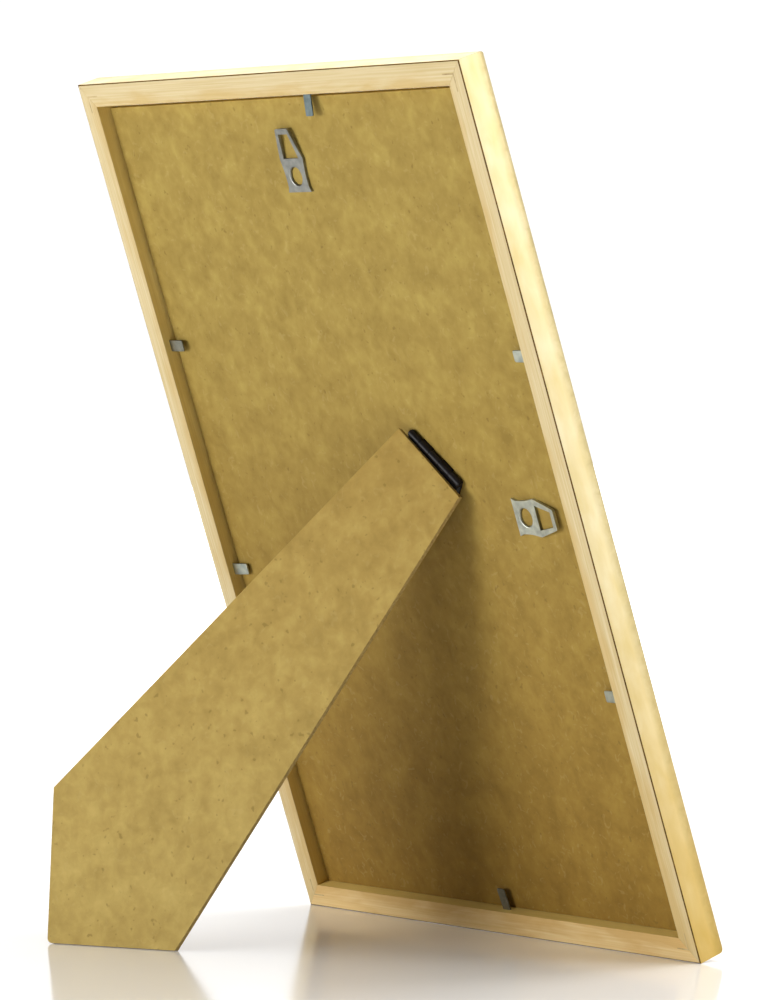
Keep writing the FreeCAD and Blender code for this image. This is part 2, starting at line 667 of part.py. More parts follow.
# Hangers: the upper one points up, the side one points to the right edge, seen from behind
lie_flat = Rotation(along_x, -90)
point_up = Rotation(about_y, 180)
hanger_top_at = Vector(0, board_face, down("Sizes.hanger_top_down"))
hanger_top = place(make_hanger("hanger_top"), Placement(hanger_top_at, point_up.multiply(lie_flat)))
hanger_side_at = Vector(across("Sizes.hanger_side_across"), board_face, down("Sizes.hanger_side_down"))
point_right = Rotation(about_y, 90)
hanger_side = place(make_hanger("hanger_side"), Placement(hanger_side_at, point_right.multiply(lie_flat)))

# Hinge and strut: the leaf on the board stays, the other leaf turns with the strut
hinge_at = Vector(across("Sizes.hinge_across"), number(axis_out), number(axis_up))
hinge_turn = Rotation(about_y, -number("Sizes.hinge_angle")).multiply(lie_flat)
hinge_frame = Placement(hinge_at, hinge_turn)
opened = Placement(Vector(), Rotation(along_x, number("Sizes.opening")))
strut_frame = hinge_frame.multiply(opened)
board_leaf = place(make_board_leaf("hinge_board_leaf"), hinge_frame)
place(make_pin("hinge_pin"), hinge_frame)
strut_leaf = place(make_strut_leaf("hinge_strut_leaf"), strut_frame)
strut_blank = place(make_strut("strut_blank"), strut_frame)
back_board = seat("back_board", board_blank, [board_leaf, hanger_top, hanger_side])
strut = seat("strut", strut_blank, [strut_leaf])

# Lean the frame back on its lower edge and its strut, and bring the middle of its footprint to zero
leaning = Rotation(along_x, -number("Sizes.lean"))
blanks = [board_blank, strut_blank] + [rail.Base for rail in rails]
pieces = [body for body, unused in placed if body not in blanks] + rails + [back_board, strut]


def stand_up(shift):
    for body, place_in_frame in placed:
        body.Placement = Placement(Vector(0, shift, 0), leaning).multiply(place_in_frame)
    doc.recompute()


stand_up(0)
extent = FreeCAD.BoundBox()
for piece in pieces:
    extent.add(piece.Shape.optimalBoundingBox(False, False))
stand_up(-extent.Center.y)
standing = Placement(Vector(0, -extent.Center.y, 0), leaning)

# Checks before anything is written
for thing in doc.Objects:
    if "Invalid" in thing.State or "Error" in thing.State:
        raise RuntimeError("%s failed: %s" % (thing.Name, thing.State))
for piece in pieces:
    if piece.Shape.isNull() or not piece.Shape.isValid():
        raise RuntimeError("%s has no valid shape" % piece.Label)
    if len(piece.Shape.Solids) != 1:
        raise RuntimeError("%s has %d solids" % (piece.Label, len(piece.Shape.Solids)))

os.makedirs("parts", exist_ok=True)
for piece in pieces:
    piece.Shape.exportStep("parts/%s.step" % piece.Label)


def report_place(label, frame, spot, direction):
    seen = standing.multiply(frame)
    at = seen.multVec(spot)
    way = seen.Rotation.multVec(direction)
    print("%s at %.4f %.4f %.4f along %.6f %.6f %.6f" % (label, at.x, at.y, at.z, way.x, way.y, way.z))


extent = FreeCAD.BoundBox()
for piece in pieces:
    extent.add(piece.Shape.optimalBoundingBox(False, False))
print("extent %.3f %.3f %.3f to %.3f %.3f %.3f" % (extent.XMin, extent.YMin, extent.ZMin,
                                                  extent.XMax, extent.YMax, extent.ZMax))
report_place("strut hinge", hinge_frame, Vector(), along_x)
for tab_name, unused, unused_turn, angle in tab_places:
    report_place(tab_name, tab_frames[tab_name], Vector(), along_x)
    print("%s angle %.3f" % (tab_name, angle))
tab_fall = number("asin((Sizes.tab_lift - Sizes.tab_tip_gap) / Sizes.tab_length)")
print("tab pressed down %.3f" % tab_fall)
print("origin shift %.4f" % standing.Base.y)
print("strut tip reach %.3f, side lean %.3f" % (number(tip_reach), number("atan(%s)" % side_lean)))
print("pieces %d" % len(pieces))
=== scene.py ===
import json
import math

import bmesh
import bpy
from mathutils import Euler, Matrix, Vector, noise

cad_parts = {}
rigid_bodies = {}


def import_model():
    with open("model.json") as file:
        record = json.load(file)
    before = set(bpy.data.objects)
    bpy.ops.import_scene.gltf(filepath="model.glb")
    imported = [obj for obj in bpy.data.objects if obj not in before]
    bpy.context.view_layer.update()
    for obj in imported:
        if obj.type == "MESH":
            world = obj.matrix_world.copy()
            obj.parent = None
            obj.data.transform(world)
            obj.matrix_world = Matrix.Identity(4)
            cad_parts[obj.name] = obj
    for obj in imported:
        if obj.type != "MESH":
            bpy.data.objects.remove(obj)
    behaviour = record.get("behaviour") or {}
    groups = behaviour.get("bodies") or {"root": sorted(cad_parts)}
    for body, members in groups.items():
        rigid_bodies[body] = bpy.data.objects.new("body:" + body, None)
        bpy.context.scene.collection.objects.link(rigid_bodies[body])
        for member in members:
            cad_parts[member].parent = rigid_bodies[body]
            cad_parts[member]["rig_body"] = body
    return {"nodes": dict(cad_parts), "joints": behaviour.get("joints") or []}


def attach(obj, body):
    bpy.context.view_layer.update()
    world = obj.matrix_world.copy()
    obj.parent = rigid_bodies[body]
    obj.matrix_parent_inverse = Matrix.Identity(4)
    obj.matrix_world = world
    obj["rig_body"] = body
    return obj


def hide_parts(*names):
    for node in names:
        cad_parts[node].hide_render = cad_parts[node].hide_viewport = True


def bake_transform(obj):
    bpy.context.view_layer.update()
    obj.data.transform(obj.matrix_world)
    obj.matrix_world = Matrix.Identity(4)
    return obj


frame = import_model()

# Gilded photo frame on its strut, seen from behind. The scene is in metres, the dictionaries of the pieces
# and their finishes are in millimetres, those of the studio in metres.
mm = 0.001
nodes = frame["nodes"]
jointOf = {joint["name"]: joint for joint in frame["joints"]}


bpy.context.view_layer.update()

# The frame leans back. Its own directions: left seen from behind, out of the back, and up along the rails
upWay = -Vector(jointOf["tab_left_upper_bend"]["axis"]).normalized()
leftWay = Vector((1, 0, 0))
outWay = upWay.cross(leftWay)
leanAngle = math.atan2(upWay.y, upWay.z)


def reach(nodeName, way):
    return [vertex.co.dot(way) for vertex in nodes[nodeName].data.vertices]


backLevel = max(reach("rail_top", outWay))
footLevel = min(reach("rail_bottom", upWay))
frameOrigin = outWay * backLevel + upWay * footLevel
frameHeight = max(reach("rail_top", upWay)) - footLevel
frameWidth = max(reach("rail_left", leftWay)) - min(reach("rail_right", leftWay))
standing = Matrix.Translation(frameOrigin) @ Matrix((leftWay, outWay, upWay)).transposed().to_4x4()
print("stage: frame loaded, %.1f by %.1f mm, lean %.2f degrees"
      % (frameWidth / mm, frameHeight / mm, math.degrees(leanAngle)))


# Materials
def hexLinear(code):
    shares = [int(code[place:place + 2], 16) / 255 for place in (1, 3, 5)]
    return [s / 12.92 if s <= 0.04045 else ((s + 0.055) / 1.055) ** 2.4 for s in shares] + [1.0]


def perMetre(size):
    # Scale of a pattern whose marks are this many millimetres across
    return 1 / (size * mm)


def setSockets(tree, node, inputs):
    # An output is linked, and anything else becomes the socket's own value
    for name, value in inputs.items():
        if isinstance(value, bpy.types.NodeSocket):
            tree.links.new(value, node.inputs[name])
        else:
            node.inputs[name].default_value = value


def addNode(tree, kind, inputs=None, stops=None, **settings):
    node = tree.nodes.new(kind)
    for name, value in settings.items():
        setattr(node, name, value)
    setSockets(tree, node, inputs or {})
    if stops:
        points = node.color_ramp.elements
        while len(points) < len(stops):
            points.new(0.5)
        for point, (place, code) in zip(points, stops):
            point.position = place
            point.color = hexLinear(code)
    return node


def newMaterial(name):
    material = bpy.data.materials.new(name)
    material.use_nodes = True
    tree = material.node_tree
    return material, tree, tree.nodes["Principled BSDF"]


# Hardboard, wood fibre pressed wet between a plate and a screen: softly clouded olive brown, matt,
# with a few dark flecks of bark and pale wisps of straw. The fibre is drawn coarser than the real one, so that
# it shows.
hardboardFacts = {"cloud": 13.0, "pulp": 4.5, "bark": 2.2, "barkFade": 0.07, "barkShare": 0.45, "straw": 3.4,
                  "strawFrom": 0.62, "strawTo": 0.74, "strawShare": 0.13, "strawTone": "#d2bd7c", "fibre": 0.9,
                  "fibreDepth": 0.06, "roughness": 0.75, "ior": 1.46, "specular": 0.25}
# Painted shade: each sheet is multiplied darker from one height to another, lower on the board, higher on the
# strut
boardSheet = {"tones": ("#937b38", "#a38a43", "#b19a4e"), "shadeFrom": 220.0, "shadeTo": 20.0,
              "brown": "#e9d8b8", "barkTone": "#77602a", "barkFrom": 0.7}
strutSheet = {"tones": ("#ae944f", "#bfa45b", "#ceb569"), "shadeFrom": 20.0, "shadeTo": 190.0,
              "brown": "#ede4d2", "barkTone": "#7d672f", "barkFrom": 0.69}


def hardboardFace(name, sheet):
    facts = hardboardFacts
    material, tree, shader = newMaterial(name)
    place = addNode(tree, "ShaderNodeTexCoord").outputs["Object"]
    clouds = addNode(tree, "ShaderNodeTexNoise", {"Vector": place, "Scale": perMetre(facts["cloud"]),
                                                  "Detail": 2.0, "Roughness": 0.5, "Distortion": 0.2})
    pulp = addNode(tree, "ShaderNodeTexNoise", {"Vector": place, "Scale": perMetre(facts["pulp"]),
                                                "Detail": 3.0, "Roughness": 0.55, "Distortion": 0.3})
    both = addNode(tree, "ShaderNodeMix", {0: 0.5, 2: clouds.outputs["Fac"], 3: pulp.outputs["Fac"]})
    tone = addNode(tree, "ShaderNodeValToRGB", {"Fac": both.outputs[0]},
                   stops=list(zip((0.3, 0.5, 0.7), sheet["tones"])))
    height = addNode(tree, "ShaderNodeSeparateXYZ", {"Vector": place}).outputs["Z"]
    # Painted shade: the tone is multiplied darker and browner across this span of heights
    shadeShare = addNode(tree, "ShaderNodeMapRange", {"Value": height, "From Min": sheet["shadeFrom"] * mm,
                                                      "From Max": sheet["shadeTo"] * mm})
    shadedTone = addNode(tree, "ShaderNodeMix", {0: shadeShare.outputs[0], 6: tone.outputs["Color"],
                                              7: hexLinear(sheet["brown"])},
                      data_type="RGBA", blend_type="MULTIPLY")
    bark = addNode(tree, "ShaderNodeTexNoise", {"Vector": place, "Scale": perMetre(facts["bark"]),
                                                "Detail": 1.0})
    flecks = addNode(tree, "ShaderNodeMapRange", {"Value": bark.outputs["Fac"], "From Min": sheet["barkFrom"],
                                                  "From Max": sheet["barkFrom"] + facts["barkFade"],
                                                  "To Max": facts["barkShare"]})
    flecked = addNode(tree, "ShaderNodeMix", {0: flecks.outputs[0], 6: shadedTone.outputs[2],
                                              7: hexLinear(sheet["barkTone"])}, data_type="RGBA")
    straw = addNode(tree, "ShaderNodeTexNoise", {"Vector": place, "Scale": perMetre(facts["straw"]),
                                                 "Detail": 1.0, "Distortion": 1.6})
    wisps = addNode(tree, "ShaderNodeMapRange", {"Value": straw.outputs["Fac"], "From Min": facts["strawFrom"],
                                                 "From Max": facts["strawTo"], "To Max": facts["strawShare"]})
    colour = addNode(tree, "ShaderNodeMix", {0: wisps.outputs[0], 6: flecked.outputs[2],
                                             7: hexLinear(facts["strawTone"])}, data_type="RGBA")
    fibre = addNode(tree, "ShaderNodeTexNoise", {"Vector": place, "Scale": perMetre(facts["fibre"]),
                                                 "Detail": 3.0})
    bump = addNode(tree, "ShaderNodeBump", {"Height": fibre.outputs["Fac"], "Strength": 0.2,
                                            "Distance": facts["fibreDepth"] * mm})
    setSockets(tree, shader, {"Base Color": colour.outputs[2], "Normal": bump.outputs["Normal"],
                              "Roughness": facts["roughness"], "IOR": facts["ior"],
                              "Specular IOR Level": facts["specular"]})
    return material


# Ramin, planed and left bare: pale, with fine long grain, yellower beside the rebate and near the floor. The
# pores are drawn wider than the real ones, so that they show.
woodFacts = {"poreLength": 45.0, "poreWidth": 0.7, "poreDepth": 0.05, "stainLength": 24.0, "stainWidth": 5.0,
             "outerSide": 2.0, "innerSide": 9.5, "outerStain": -0.22, "innerStain": 0.2, "lowFrom": 160.0,
             "lowTo": 20.0, "stainFrom": 0.42, "stainTo": 0.72, "roughness": 0.6, "ior": 1.5, "specular": 0.3}


def bareWood(name, tones, stainTone, stained, lowStain=0.12):
    facts = woodFacts
    material, tree, shader = newMaterial(name)
    along = addNode(tree, "ShaderNodeUVMap", uv_map="alongAndAcross").outputs["UV"]
    grainPlace = addNode(tree, "ShaderNodeMapping", {
        "Vector": along, "Scale": (perMetre(facts["poreLength"]), perMetre(facts["poreWidth"]), 1)})
    grain = addNode(tree, "ShaderNodeTexNoise", {"Vector": grainPlace.outputs["Vector"], "Scale": 1.0,
                                                 "Detail": 4.0})
    tone = addNode(tree, "ShaderNodeValToRGB", {"Fac": grain.outputs["Fac"]},
                   stops=list(zip((0.3, 0.55, 0.75), tones)))
    stainPlace = addNode(tree, "ShaderNodeMapping", {
        "Vector": along, "Scale": (perMetre(facts["stainLength"]), perMetre(facts["stainWidth"]), 1)})
    stain = addNode(tree, "ShaderNodeTexNoise", {"Vector": stainPlace.outputs["Vector"], "Scale": 1.0,
                                                 "Detail": 3.0, "Distortion": 0.5})
    across = addNode(tree, "ShaderNodeSeparateXYZ", {"Vector": along}).outputs["Y"]
    inner = addNode(tree, "ShaderNodeMapRange", {
        "Value": across, "From Min": facts["outerSide"] * mm, "From Max": facts["innerSide"] * mm,
        "To Min": facts["outerStain"], "To Max": facts["innerStain"]})
    place = addNode(tree, "ShaderNodeTexCoord").outputs["Object"]
    height = addNode(tree, "ShaderNodeSeparateXYZ", {"Vector": place}).outputs["Z"]
    low = addNode(tree, "ShaderNodeMapRange", {"Value": height, "From Min": facts["lowFrom"] * mm,
                                               "From Max": facts["lowTo"] * mm, "To Max": lowStain})
    patch = addNode(tree, "ShaderNodeMath", {0: stain.outputs["Fac"], 1: inner.outputs[0]}, operation="ADD")
    patch = addNode(tree, "ShaderNodeMath", {0: patch.outputs[0], 1: low.outputs[0]}, operation="ADD")
    share = addNode(tree, "ShaderNodeMapRange", {"Value": patch.outputs[0], "From Min": facts["stainFrom"],
                                                 "From Max": facts["stainTo"], "To Max": stained})
    colour = addNode(tree, "ShaderNodeMix", {0: share.outputs[0], 6: tone.outputs["Color"],
                                             7: hexLinear(stainTone)}, data_type="RGBA")
    bump = addNode(tree, "ShaderNodeBump", {"Height": grain.outputs["Fac"], "Strength": 0.2,
                                            "Distance": facts["poreDepth"] * mm})
    setSockets(tree, shader, {"Base Color": colour.outputs[2], "Normal": bump.outputs["Normal"],
                              "Roughness": facts["roughness"], "IOR": facts["ior"],
                              "Specular IOR Level": facts["specular"]})
    return material


# Brass leaf, laid on bole over gesso and burnished by hand: pale gold, softly clouded, with painted shade in
# specks on the front rounding and painted shade deeper near the floor. The rounding's place is measured round
# the section from the outer back edge.
leafFacts = {"tones": ("#ecd89c", "#f1e0ae", "#f6e9c0"), "rubLength": 15.0, "rubWidth": 7.0, "rounding": 35.5,
             "roundingSpan": 4.5, "roundingCore": 1.5, "speck": 3.4, "roundingShadeTone": "#cdbb85", "lowShadeFrom": 130.0,
             "lowShadeTone": "#efdca6", "crease": 1.6, "creaseDepth": 0.03, "roughness": (0.42, 0.5),
             "metallic": 0.9}


def brassLeaf():
    facts = leafFacts
    material, tree, shader = newMaterial("brass_leaf_burnished")
    along = addNode(tree, "ShaderNodeUVMap", uv_map="alongAndAcross").outputs["UV"]
    rubPlace = addNode(tree, "ShaderNodeMapping", {
        "Vector": along, "Scale": (perMetre(facts["rubLength"]), perMetre(facts["rubWidth"]), 1)})
    rub = addNode(tree, "ShaderNodeTexNoise", {"Vector": rubPlace.outputs["Vector"], "Scale": 1.0,
                                               "Detail": 3.0, "Distortion": 0.2})
    tone = addNode(tree, "ShaderNodeValToRGB", {"Fac": rub.outputs["Fac"]},
                   stops=list(zip((0.3, 0.5, 0.7), facts["tones"])))
    # Painted shade: a darker tone laid on the front rounding, broken into specks
    around = addNode(tree, "ShaderNodeSeparateXYZ", {"Vector": along}).outputs["Y"]
    fromRounding = addNode(tree, "ShaderNodeMath", {0: around, 1: facts["rounding"] * mm},
                           operation="SUBTRACT")
    distance = addNode(tree, "ShaderNodeMath", {0: fromRounding.outputs[0]}, operation="ABSOLUTE")
    rounding = addNode(tree, "ShaderNodeMapRange", {"Value": distance.outputs[0],
                                                    "From Min": facts["roundingSpan"] * mm,
                                                    "From Max": facts["roundingCore"] * mm})
    speck = addNode(tree, "ShaderNodeTexNoise", {"Vector": along, "Scale": perMetre(facts["speck"]),
                                                 "Detail": 4.0, "Distortion": 0.6})
    shadeSpecks = addNode(tree, "ShaderNodeMapRange", {"Value": speck.outputs["Fac"], "From Min": 0.3,
                                                "From Max": 0.75, "To Min": 0.5})
    share = addNode(tree, "ShaderNodeMath", {0: rounding.outputs[0], 1: shadeSpecks.outputs[0]}, operation="MULTIPLY")
    rubbed = addNode(tree, "ShaderNodeMix", {0: share.outputs[0], 6: tone.outputs["Color"],
                                             7: hexLinear(facts["roundingShadeTone"])}, data_type="RGBA")
    # Painted shade: the leaf is multiplied darker towards the floor
    place = addNode(tree, "ShaderNodeTexCoord").outputs["Object"]
    height = addNode(tree, "ShaderNodeSeparateXYZ", {"Vector": place}).outputs["Z"]
    low = addNode(tree, "ShaderNodeMapRange", {"Value": height, "From Min": facts["lowShadeFrom"] * mm,
                                               "From Max": 0.0})
    colour = addNode(tree, "ShaderNodeMix", {0: low.outputs[0], 6: rubbed.outputs[2],
                                             7: hexLinear(facts["lowShadeTone"])},
                     data_type="RGBA", blend_type="MULTIPLY")
    gloss = addNode(tree, "ShaderNodeMapRange", {"Value": rub.outputs["Fac"], "From Min": 0.3, "From Max": 0.7,
                                                 "To Min": facts["roughness"][0],
                                                 "To Max": facts["roughness"][1]})
    creases = addNode(tree, "ShaderNodeTexNoise", {"Vector": along, "Scale": perMetre(facts["crease"]),
                                                   "Detail": 3.0})
    bump = addNode(tree, "ShaderNodeBump", {"Height": creases.outputs["Fac"], "Strength": 0.1,
                                            "Distance": facts["creaseDepth"] * mm})
    setSockets(tree, shader, {"Base Color": colour.outputs[2], "Normal": bump.outputs["Normal"],
                              "Roughness": gloss.outputs[0], "Metallic": facts["metallic"]})
    return material


# Bole, brown clay brushed on under the leaf: a dark matt line where the leaf ends on the arris
def bareBole():
    material, tree, shader = newMaterial("bole_brushed_edge")
    along = addNode(tree, "ShaderNodeUVMap", uv_map="alongAndAcross").outputs["UV"]
    wear = addNode(tree, "ShaderNodeTexNoise", {"Vector": along, "Scale": perMetre(6), "Detail": 3.0})
    tone = addNode(tree, "ShaderNodeValToRGB", {"Fac": wear.outputs["Fac"]},
                   stops=[(0.35, "#5a4018"), (0.6, "#755522"), (0.8, "#9c7c3e")])
    setSockets(tree, shader, {"Base Color": tone.outputs["Color"], "Roughness": 0.9,
                              "Specular IOR Level": 0.1})
    return material


# Materials of the small pieces: two tones in soft patches, and a fine bump where one is felt
def mottled(name, patch, detail, stops, sockets, bumps=None):
    material, tree, shader = newMaterial(name)
    place = addNode(tree, "ShaderNodeTexCoord").outputs["Object"]
    patches = addNode(tree, "ShaderNodeTexNoise", {"Vector": place, "Scale": perMetre(patch),
                                                   "Detail": detail})
    tone = addNode(tree, "ShaderNodeValToRGB", {"Fac": patches.outputs["Fac"]}, stops=stops)
    setSockets(tree, shader, {"Base Color": tone.outputs["Color"], **sockets})
    if bumps:
        fine = addNode(tree, "ShaderNodeTexNoise", {"Vector": place, "Scale": perMetre(bumps["size"]),
                                                    "Detail": 2.0})
        bump = addNode(tree, "ShaderNodeBump", {"Height": fine.outputs["Fac"], "Strength": 0.1,
                                                "Distance": bumps["depth"] * mm})
        setSockets(tree, shader, {"Normal": bump.outputs["Normal"]})
    return material


# Steel, stamped or sheared from strip and zinc plated: cool grey with soft clouding. The scratches are drawn
# wider apart than the real ones, so that they show.
steelFacts = {"cloud": 3.0, "scratches": {"size": 0.5, "depth": 0.02}}


def platedSteel(name, tones, roughness):
    return mottled("zinc_plated_steel_" + name, patch=steelFacts["cloud"], detail=4.0,
                   stops=list(zip((0.35, 0.65), tones)), sockets={"Metallic": 1.0, "Roughness": roughness},
                   bumps=steelFacts["scratches"])


boardHardboard = hardboardFace("hardboard_pressed_board", boardSheet)
strutHardboard = hardboardFace("hardboard_pressed_strut", strutSheet)

# Hardboard edge, sawn: open fibre, a little paler than the face
sawnHardboard = mottled("hardboard_sawn_edge", patch=1.2, detail=4.0,
                        stops=[(0.35, "#998249"), (0.65, "#b39b5f")], sockets={"Roughness": 0.8})

railMaterials = {
    "wood": bareWood("ramin_planed_bare", ("#d0ba84", "#dac799", "#e1d0a6"), "#c8a456", 0.5, 0.2),
    "stainedWood": bareWood("ramin_planed_stained", ("#e2c282", "#ecd096", "#f2daa4"), "#d0a458", 0.6),
    "rebate": bareWood("ramin_cut_rebate", ("#dcc070", "#e6cc7a", "#eed585"), "#cfae5a", 0.5),
    "leaf": brassLeaf(),
    "bole": bareBole(),
}

# Painted shade and painted light: the same plated steel, as a darker copy for the upper hanger and a paler one
# for the side hanger
upperHangerShadeSteel = platedSteel("stamped_shaded", ("#7e7f7b", "#94958e"), 0.42)
sideHangerLitSteel = platedSteel("stamped_lit", ("#9da096", "#bfc2b2"), 0.42)
tabSteel = platedSteel("sheared", ("#8f9892", "#b4b8aa"), 0.4)
# Painted shade: two darker copies of the same tab steel
shadeTabSteel = platedSteel("shaded", ("#77796f", "#909084"), 0.45)
deepShadeTabSteel = platedSteel("deep_shaded", ("#566263", "#6a7576"), 0.45)

# Furniture wax rubbed flush over the nail ends: a little darker than the wood
nailWax = mottled("furniture_wax_rubbed", patch=3.0, detail=3.0, stops=[(0.35, "#a88c58"), (0.65, "#d2b985")],
                  sockets={"Roughness": 0.6})

# Steel, rolled round the pin and stove lacquered: near black with a soft gloss
hingeLacquer = mottled("black_lacquer_on_steel", patch=1.5, detail=3.0,
                       stops=[(0.4, "#0d090b"), (0.7, "#171216")],
                       sockets={"Roughness": 0.48, "Specular IOR Level": 0.25})

# Uncoated paper, pressed: warm white with a fine tooth, drawn coarser than the real one so that it shows
sheetPaper = mottled("paper_uncoated", patch=1.5, detail=4.0, stops=[(0.3, "#ebe7dd"), (0.7, "#f4f1e9")],
                     sockets={"Roughness": 0.85})


# Float glass, clear, with the faint green of its thickness
def clearGlass():
    material, tree, shader = newMaterial("float_glass_clear")
    setSockets(tree, shader, {"Base Color": hexLinear("#f4faf6"), "Roughness": 0.0, "IOR": 1.52,
                              "Transmission Weight": 1.0,
                              "Alpha": 0.3})  # thin enough for lamp light to reach the sheet straight
    return material


def dress(nodeName, material):
    mesh = nodes[nodeName].data
    mesh.materials.clear()
    mesh.materials.append(material)


dress("back_board", boardHardboard)
dress("glass", clearGlass())
dress("photo_sheet", sheetPaper)
print("stage: materials made")


def addObject(name, data):
    made = bpy.data.objects.new(name, data)
    bpy.context.scene.collection.objects.link(made)
    return made


def smoothShaded(mesh, sharpTurn):
    for polygon in mesh.polygons:
        polygon.use_smooth = True
    mesh.set_sharp_from_angle(angle=math.radians(sharpTurn))


# Rails, swept from the moulding's section and mitred, in place of the plainer solids
railFacts = {"width": 8.5, "depth": 12.0, "rebate": 9.5, "lip": 4.0, "crestDrop": 1.2, "shoulder": 3.0,
             "sight": 0.5, "arris": 0.4, "woodArris": 0.2, "step": 5.0, "sunk": 0.02, "unevenness": 0.05,
             "waveLength": 22.0, "mitreGap": 0.02, "settled": 1.0, "weld": 0.001, "sharpTurn": 50,
             "grainShift": 3}
railArcs = {"arris": 4, "woodArris": 3, "sight": 4, "shoulder": 7, "crown": 8}  # steps of each rounded stretch


def roundCorner(before, corner, after, radius, steps):
    # Points of an arc that rounds the corner between two straight stretches
    inWay = (before - corner).normalized()
    onWay = (after - corner).normalized()
    halfTurn = inWay.angle(onWay) / 2
    cut = radius / math.tan(halfTurn)
    centre = corner + (inWay + onWay).normalized() * (radius / math.sin(halfTurn))
    first = corner + inWay * cut - centre
    last = corner + onWay * cut - centre
    sweep = first.angle_signed(last)
    points = []
    for step in range(steps + 1):
        turn = -sweep * step / steps
        spot = Vector((first.x * math.cos(turn) - first.y * math.sin(turn),
                       first.x * math.sin(turn) + first.y * math.cos(turn)))
        points.append(centre + spot)
    return points


def railSection():
    # (across from the outer side, depth from the back face), with the finish of the strip that follows
    facts = railFacts
    inner = facts["width"] + facts["lip"]
    run = inner - facts["shoulder"]
    crown = (run ** 2 + facts["crestDrop"] ** 2) / (2 * facts["crestDrop"])
    rounded = [
        ((0, 0), "arris", "bole", "wood"),
        ((facts["width"], 0), "woodArris", "wood", "rebate"),
        ((facts["width"], facts["rebate"]), None, "rebate", "rebate"),
        ((inner, facts["rebate"]), "woodArris", "leaf", "leaf"),
        ((inner, facts["depth"] - facts["crestDrop"]), "sight", "leaf", "leaf"),
    ]
    for step in range(1, railArcs["crown"] + 1):
        across = run * (1 - step / railArcs["crown"])
        fall = crown - math.sqrt(crown ** 2 - across ** 2)
        rounded.append(((facts["shoulder"] + across, facts["depth"] - fall), None, "leaf", "leaf"))
    rounded.append(((0, facts["depth"]), "shoulder", "leaf", "leaf"))
    corners = [(Vector(place), arc, onArc, onward) for place, arc, onArc, onward in rounded]
    outline = []
    for index, (corner, arc, onArc, onward) in enumerate(corners):
        if not arc:
            outline.append((corner, onward))
            continue
        before = corners[index - 1][0]
        after = corners[(index + 1) % len(corners)][0]
        points = roundCorner(before, corner, after, facts[arc], railArcs[arc])
        outline += [(point, onArc) for point in points[:-1]]
        outline.append((points[-1], onward))
    cleaned = []
    for point, finish in outline:
        if cleaned and (point - cleaned[-1][0]).length < facts["weld"]:
            cleaned[-1] = (cleaned[-1][0], finish)
        else:
            cleaned.append((point, finish))
    return cleaned


def sweepSection(work, section, finishes, middle, runWay, inWay, length):
    # Rings of the section from mitre to mitre, joined by faces that carry the grain's direction
    facts = railFacts
    uvLayer = work.loops.layers.uv.new("alongAndAcross")
    stepCount = math.ceil(length / (facts["step"] * mm))
    rings = []
    for step in range(stepCount + 1):
        share = step / stepCount * 2 - 1
        ring = []
        for point, finish in section:
            across, depth = point.x * mm, point.y * mm
            halfRun = length / 2 - across - facts["mitreGap"] * mm
            spot = middle + runWay * (share * halfRun) + inWay * across - Vector((0, 1, 0)) * depth
            ring.append(work.verts.new(standing @ spot))
        rings.append(ring)
    girth = [0.0]
    for index in range(len(section)):
        span = section[(index + 1) % len(section)][0] - section[index][0]
        girth.append(girth[-1] + span.length * mm)
    for step in range(stepCount):
        for index, (point, finish) in enumerate(section):
            following = (index + 1) % len(section)
            face = work.faces.new([rings[step][index], rings[step][following],
                                   rings[step + 1][following], rings[step + 1][index]])
            face.material_index = finishes.index(finish)
            for loop, (along, around) in zip(face.loops, [(step, index), (step, index + 1),
                                                         (step + 1, index + 1), (step + 1, index)]):
                loop[uvLayer].uv = (along / stepCount * length + middle.length * facts["grainShift"],
                                    girth[around])
    for ring in (rings[0], rings[-1]):
        cap = work.faces.new(ring)
        cap.material_index = 0
        for loop in cap.loops:
            loop[uvLayer].uv = (loop.vert.co.x, loop.vert.co.z)
    bmesh.ops.recalc_face_normals(work, faces=work.faces)
    work.normal_update()


def wearRail(work):
    # Hand rubbing leaves the faces a little uneven, always inside the solid's own
    facts = railFacts
    shifts = {}
    for vertex in work.verts:
        wave = noise.noise(vertex.co / (facts["waveLength"] * mm))
        shifts[vertex] = -vertex.normal * mm * (facts["sunk"] + facts["unevenness"] * (0.5 + 0.5 * wave))
    for vertex, shift in shifts.items():
        vertex.co += shift
    # The edge that the frame stands on is pressed flat against the floor
    gap = min(vertex.co.z for vertex in work.verts)
    settled = facts["settled"] * mm
    for vertex in work.verts:
        if gap < settled:
            vertex.co.z -= gap * max(0.0, 1 - vertex.co.z / settled)


def makeRail(nodeName, middle, runWay, inWay, length):
    finishes = ["wood", "rebate", "leaf", "bole"]
    looks = [railMaterials["stainedWood" if finish == "wood" and nodeName == "rail_bottom" else finish]
             for finish in finishes]
    mesh = bpy.data.meshes.new(nodeName + "_gilded")
    work = bmesh.new()
    sweepSection(work, railSection(), finishes, middle, runWay, inWay, length)
    wearRail(work)
    work.to_mesh(mesh)
    work.free()
    smoothShaded(mesh, railFacts["sharpTurn"])
    for look in looks:
        mesh.materials.append(look)
    rail = addObject(nodeName + "_gilded", mesh)
    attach(rail, "frame")
    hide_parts(nodeName)


